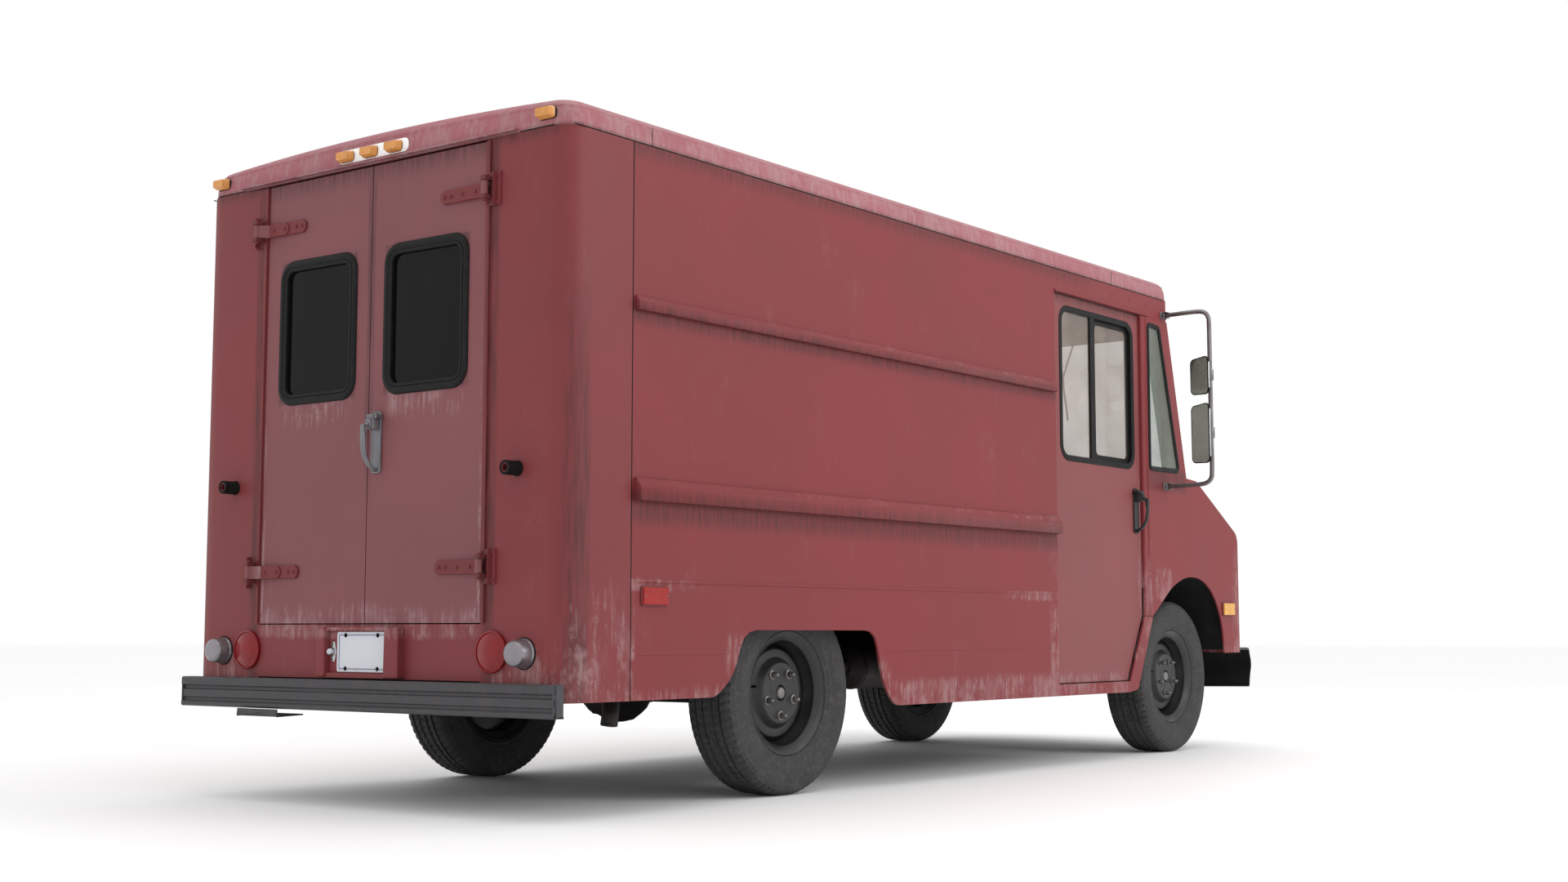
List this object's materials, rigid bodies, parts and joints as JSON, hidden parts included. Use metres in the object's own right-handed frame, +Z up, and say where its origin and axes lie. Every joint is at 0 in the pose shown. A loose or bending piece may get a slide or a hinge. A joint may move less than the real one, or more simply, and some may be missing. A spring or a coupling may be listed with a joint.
{
  "type": "mail delivery truck",
  "caption": "Walk-in step van: box body on a ladder chassis, twin rear doors, sliding side doors, short sloping nose, steel wheels.",
  "frame": {"origin": "on the ground, under the middle of the overall length and width", "axes": "+X forward along the van, +Y to its left, +Z up"},
  "size_m": [5.3531, 2.3898, 2.352],
  "materials": {
    "paint": "weathered matte brick red paint",
    "door_paint": "chalky faded red paint",
    "roof_paint": "faded pinkish red paint",
    "steel": "dull dark steel",
    "casting": "oily cast iron",
    "black_steel": "black chassis paint",
    "wheel_black": "dusty black wheel paint",
    "tyre": "dusty black rubber",
    "chrome": "dull chrome",
    "glass": "green tinted glass",
    "red_lens": "ribbed red lens",
    "vinyl": "black vinyl",
    "floor": "worn painted floor plate",
    "handle": "worn grey die casting",
    "plastic": "black moulded plastic"
  },
  "bodies": {
    "root": {"chassis_frame": "black_steel", "cab_floor": "black_steel", "radiator": "black_steel", "cargo_floor": "floor", "body_side_right": "paint", "body_side_left": "paint", "front_side_right": "paint", "front_side_left": "paint", "rear_frame": "paint", "nose_shell": "paint", "windscreen_frame": "paint", "roof_cap": "roof_paint", "quarter_glass_right": "glass", "quarter_glass_left": "glass", "windscreen": "glass", "dashboard": "plastic", "engine_cover": "plastic", "engine": "casting", "rear_axle": "casting", "front_axle": "casting", "fuel_tank": "steel", "exhaust": "steel", "rear_bumper": "steel", "front_bumper": "chrome", "tail_lamp_right": "red_lens", "tail_lamp_left": "red_lens"},
    "rear_door_right": {"rear_door_right": "door_paint", "rear_door_handle": "handle"},
    "rear_door_left": {"rear_door_left": "door_paint"},
    "side_door_right": {"side_door_right": "door_paint", "side_handle_right": "plastic"},
    "side_window_right": {"side_window_right": "glass"},
    "side_door_left": {"side_door_left": "door_paint", "side_handle_left": "plastic"},
    "side_window_left": {"side_window_left": "glass"},
    "hood": {"hood": "paint"},
    "steered_hub_right": {"knuckle_right": "casting"},
    "front_road_wheel_right": {"front_tyre_right": "tyre", "front_wheel_right": "wheel_black"},
    "rear_road_wheel_right": {"rear_tyre_right": "tyre", "rear_wheel_right": "wheel_black"},
    "steered_hub_left": {"knuckle_left": "casting"},
    "front_road_wheel_left": {"front_tyre_left": "tyre", "front_wheel_left": "wheel_black"},
    "rear_road_wheel_left": {"rear_tyre_left": "tyre", "rear_wheel_left": "wheel_black"},
    "prop_shaft": {"prop_shaft": "steel"},
    "steering_wheel": {"steering_wheel": "plastic"},
    "seat": {"seat_cushion": "vinyl"},
    "seat_back": {"seat_back": "vinyl"},
    "mirror_arm_right": {"mirror_arm_right": "chrome"},
    "upper_mirror_right": {"upper_mirror_right": "plastic"},
    "lower_mirror_right": {"lower_mirror_right": "plastic"},
    "mirror_arm_left": {"mirror_arm_left": "chrome"},
    "upper_mirror_left": {"upper_mirror_left": "plastic"},
    "lower_mirror_left": {"lower_mirror_left": "plastic"},
    "wiper_right": {"wiper_right": "black_steel"},
    "wiper_left": {"wiper_left": "black_steel"},
    "brake_pedal": {"brake_pedal": "black_steel"},
    "accelerator_pedal": {"accelerator_pedal": "black_steel"}
  },
  "joints": [
    {"name": "rear_door_right_hinge", "type": "hinge", "parent": "root", "child": "rear_door_right", "pos_m": [-2.6385, -0.59, 1.419], "axis": [0, 0, 1], "range_deg": [0, 180]},
    {"name": "rear_door_left_hinge", "type": "hinge", "parent": "root", "child": "rear_door_left", "pos_m": [-2.6385, 0.59, 1.419], "axis": [0, 0, -1], "range_deg": [0, 180]},
    {"name": "side_door_right_slide", "type": "slide", "parent": "root", "child": "side_door_right", "axis": [-1, 0, 0], "range_m": [0, 0.75]},
    {"name": "side_window_right_slide", "type": "slide", "parent": "side_door_right", "child": "side_window_right", "axis": [-1, 0, 0], "range_m": [0, 0.31]},
    {"name": "side_door_left_slide", "type": "slide", "parent": "root", "child": "side_door_left", "axis": [-1, 0, 0], "range_m": [0, 0.75]},
    {"name": "side_window_left_slide", "type": "slide", "parent": "side_door_left", "child": "side_window_left", "axis": [-1, 0, 0], "range_m": [0, 0.31]},
    {"name": "hood_hinge", "type": "hinge", "parent": "root", "child": "hood", "pos_m": [1.9965, 0, 1.343], "axis": [0, -1, 0], "range_deg": [0, 60]},
    {"name": "steer_right", "type": "hinge", "parent": "root", "child": "steered_hub_right", "pos_m": [1.8715, -0.625, 0.371], "axis": [0, 0, 1], "range_deg": [-28, 28]},
    {"name": "front_right_roll", "type": "hinge", "parent": "steered_hub_right", "child": "front_road_wheel_right", "pos_m": [1.8715, -0.746, 0.371], "axis": [0, 1, 0], "continuous": true},
    {"name": "rear_right_roll", "type": "hinge", "parent": "root", "child": "rear_road_wheel_right", "pos_m": [-1.3035, -0.746, 0.371], "axis": [0, 1, 0], "continuous": true},
    {"name": "steer_left", "type": "hinge", "parent": "root", "child": "steered_hub_left", "pos_m": [1.8715, 0.625, 0.371], "axis": [0, 0, 1], "range_deg": [-28, 28]},
    {"name": "front_left_roll", "type": "hinge", "parent": "steered_hub_left", "child": "front_road_wheel_left", "pos_m": [1.8715, 0.746, 0.371], "axis": [0, 1, 0], "continuous": true},
    {"name": "rear_left_roll", "type": "hinge", "parent": "root", "child": "rear_road_wheel_left", "pos_m": [-1.3035, 0.746, 0.371], "axis": [0, 1, 0], "continuous": true},
    {"name": "prop_shaft_turn", "type": "hinge", "parent": "root", "child": "prop_shaft", "pos_m": [-1.1065, 0, 0.38], "axis": [0.998, 0, 0.064], "continuous": true},
    {"name": "steering_wheel_turn", "type": "hinge", "parent": "root", "child": "steering_wheel", "pos_m": [1.3315, 0.47, 1.21], "axis": [-0.6594, 0, 0.7518], "range_deg": [-480, 480]},
    {"name": "seat_slide", "type": "slide", "parent": "root", "child": "seat", "axis": [1, 0, 0], "range_m": [-0.1, 0.04]},
    {"name": "seat_back_fold", "type": "hinge", "parent": "seat", "child": "seat_back", "pos_m": [0.8485, 0.47, 0.994], "axis": [0, 1, 0], "range_deg": [0, 25]},
    {"name": "mirror_arm_right_fold", "type": "hinge", "parent": "root", "child": "mirror_arm_right", "pos_m": [1.6365, -0.95, 1.723], "axis": [0, 0, -1], "range_deg": [-30, 75]},
    {"name": "upper_mirror_right_swivel", "type": "hinge", "parent": "mirror_arm_right", "child": "upper_mirror_right", "pos_m": [1.6365, -1.178, 1.832], "axis": [0, 0, -1], "range_deg": [-25, 25]},
    {"name": "lower_mirror_right_swivel", "type": "hinge", "parent": "mirror_arm_right", "child": "lower_mirror_right", "pos_m": [1.6365, -1.178, 1.55], "axis": [0, 0, -1], "range_deg": [-25, 25]},
    {"name": "mirror_arm_left_fold", "type": "hinge", "parent": "root", "child": "mirror_arm_left", "pos_m": [1.6365, 0.95, 1.723], "axis": [0, 0, 1], "range_deg": [-30, 75]},
    {"name": "upper_mirror_left_swivel", "type": "hinge", "parent": "mirror_arm_left", "child": "upper_mirror_left", "pos_m": [1.6365, 1.178, 1.832], "axis": [0, 0, 1], "range_deg": [-25, 25]},
    {"name": "lower_mirror_left_swivel", "type": "hinge", "parent": "mirror_arm_left", "child": "lower_mirror_left", "pos_m": [1.6365, 1.178, 1.55], "axis": [0, 0, 1], "range_deg": [-25, 25]},
    {"name": "wiper_right_sweep", "type": "hinge", "parent": "root", "child": "wiper_right", "pos_m": [1.69533, -0.42, 2.10441], "axis": [-0.9701, 0, -0.2425], "range_deg": [0, 70]},
    {"name": "wiper_left_sweep", "type": "hinge", "parent": "root", "child": "wiper_left", "pos_m": [1.69533, 0.42, 2.10441], "axis": [0.9701, 0, 0.2425], "range_deg": [0, 70]},
    {"name": "brake_pedal_press", "type": "hinge", "parent": "root", "child": "brake_pedal", "pos_m": [1.6465, 0.375, 1.085], "axis": [0, -1, 0], "range_deg": [0, 8], "stiffness_Nm_per_rad": 40, "springref_deg": -11.46},
    {"name": "accelerator_pedal_press", "type": "hinge", "parent": "root", "child": "accelerator_pedal", "pos_m": [1.6465, 0.31, 1.085], "axis": [0, -1, 0], "range_deg": [0, 8], "stiffness_Nm_per_rad": 40, "springref_deg": -11.46}
  ],
  "couplings": [
    {"joint": "steer_left", "follows": "steer_right", "ratio": 1},
    {"joint": "steering_wheel_turn", "follows": "steer_right", "ratio": 17},
    {"joint": "wiper_left_sweep", "follows": "wiper_right_sweep", "ratio": 1}
  ]
}
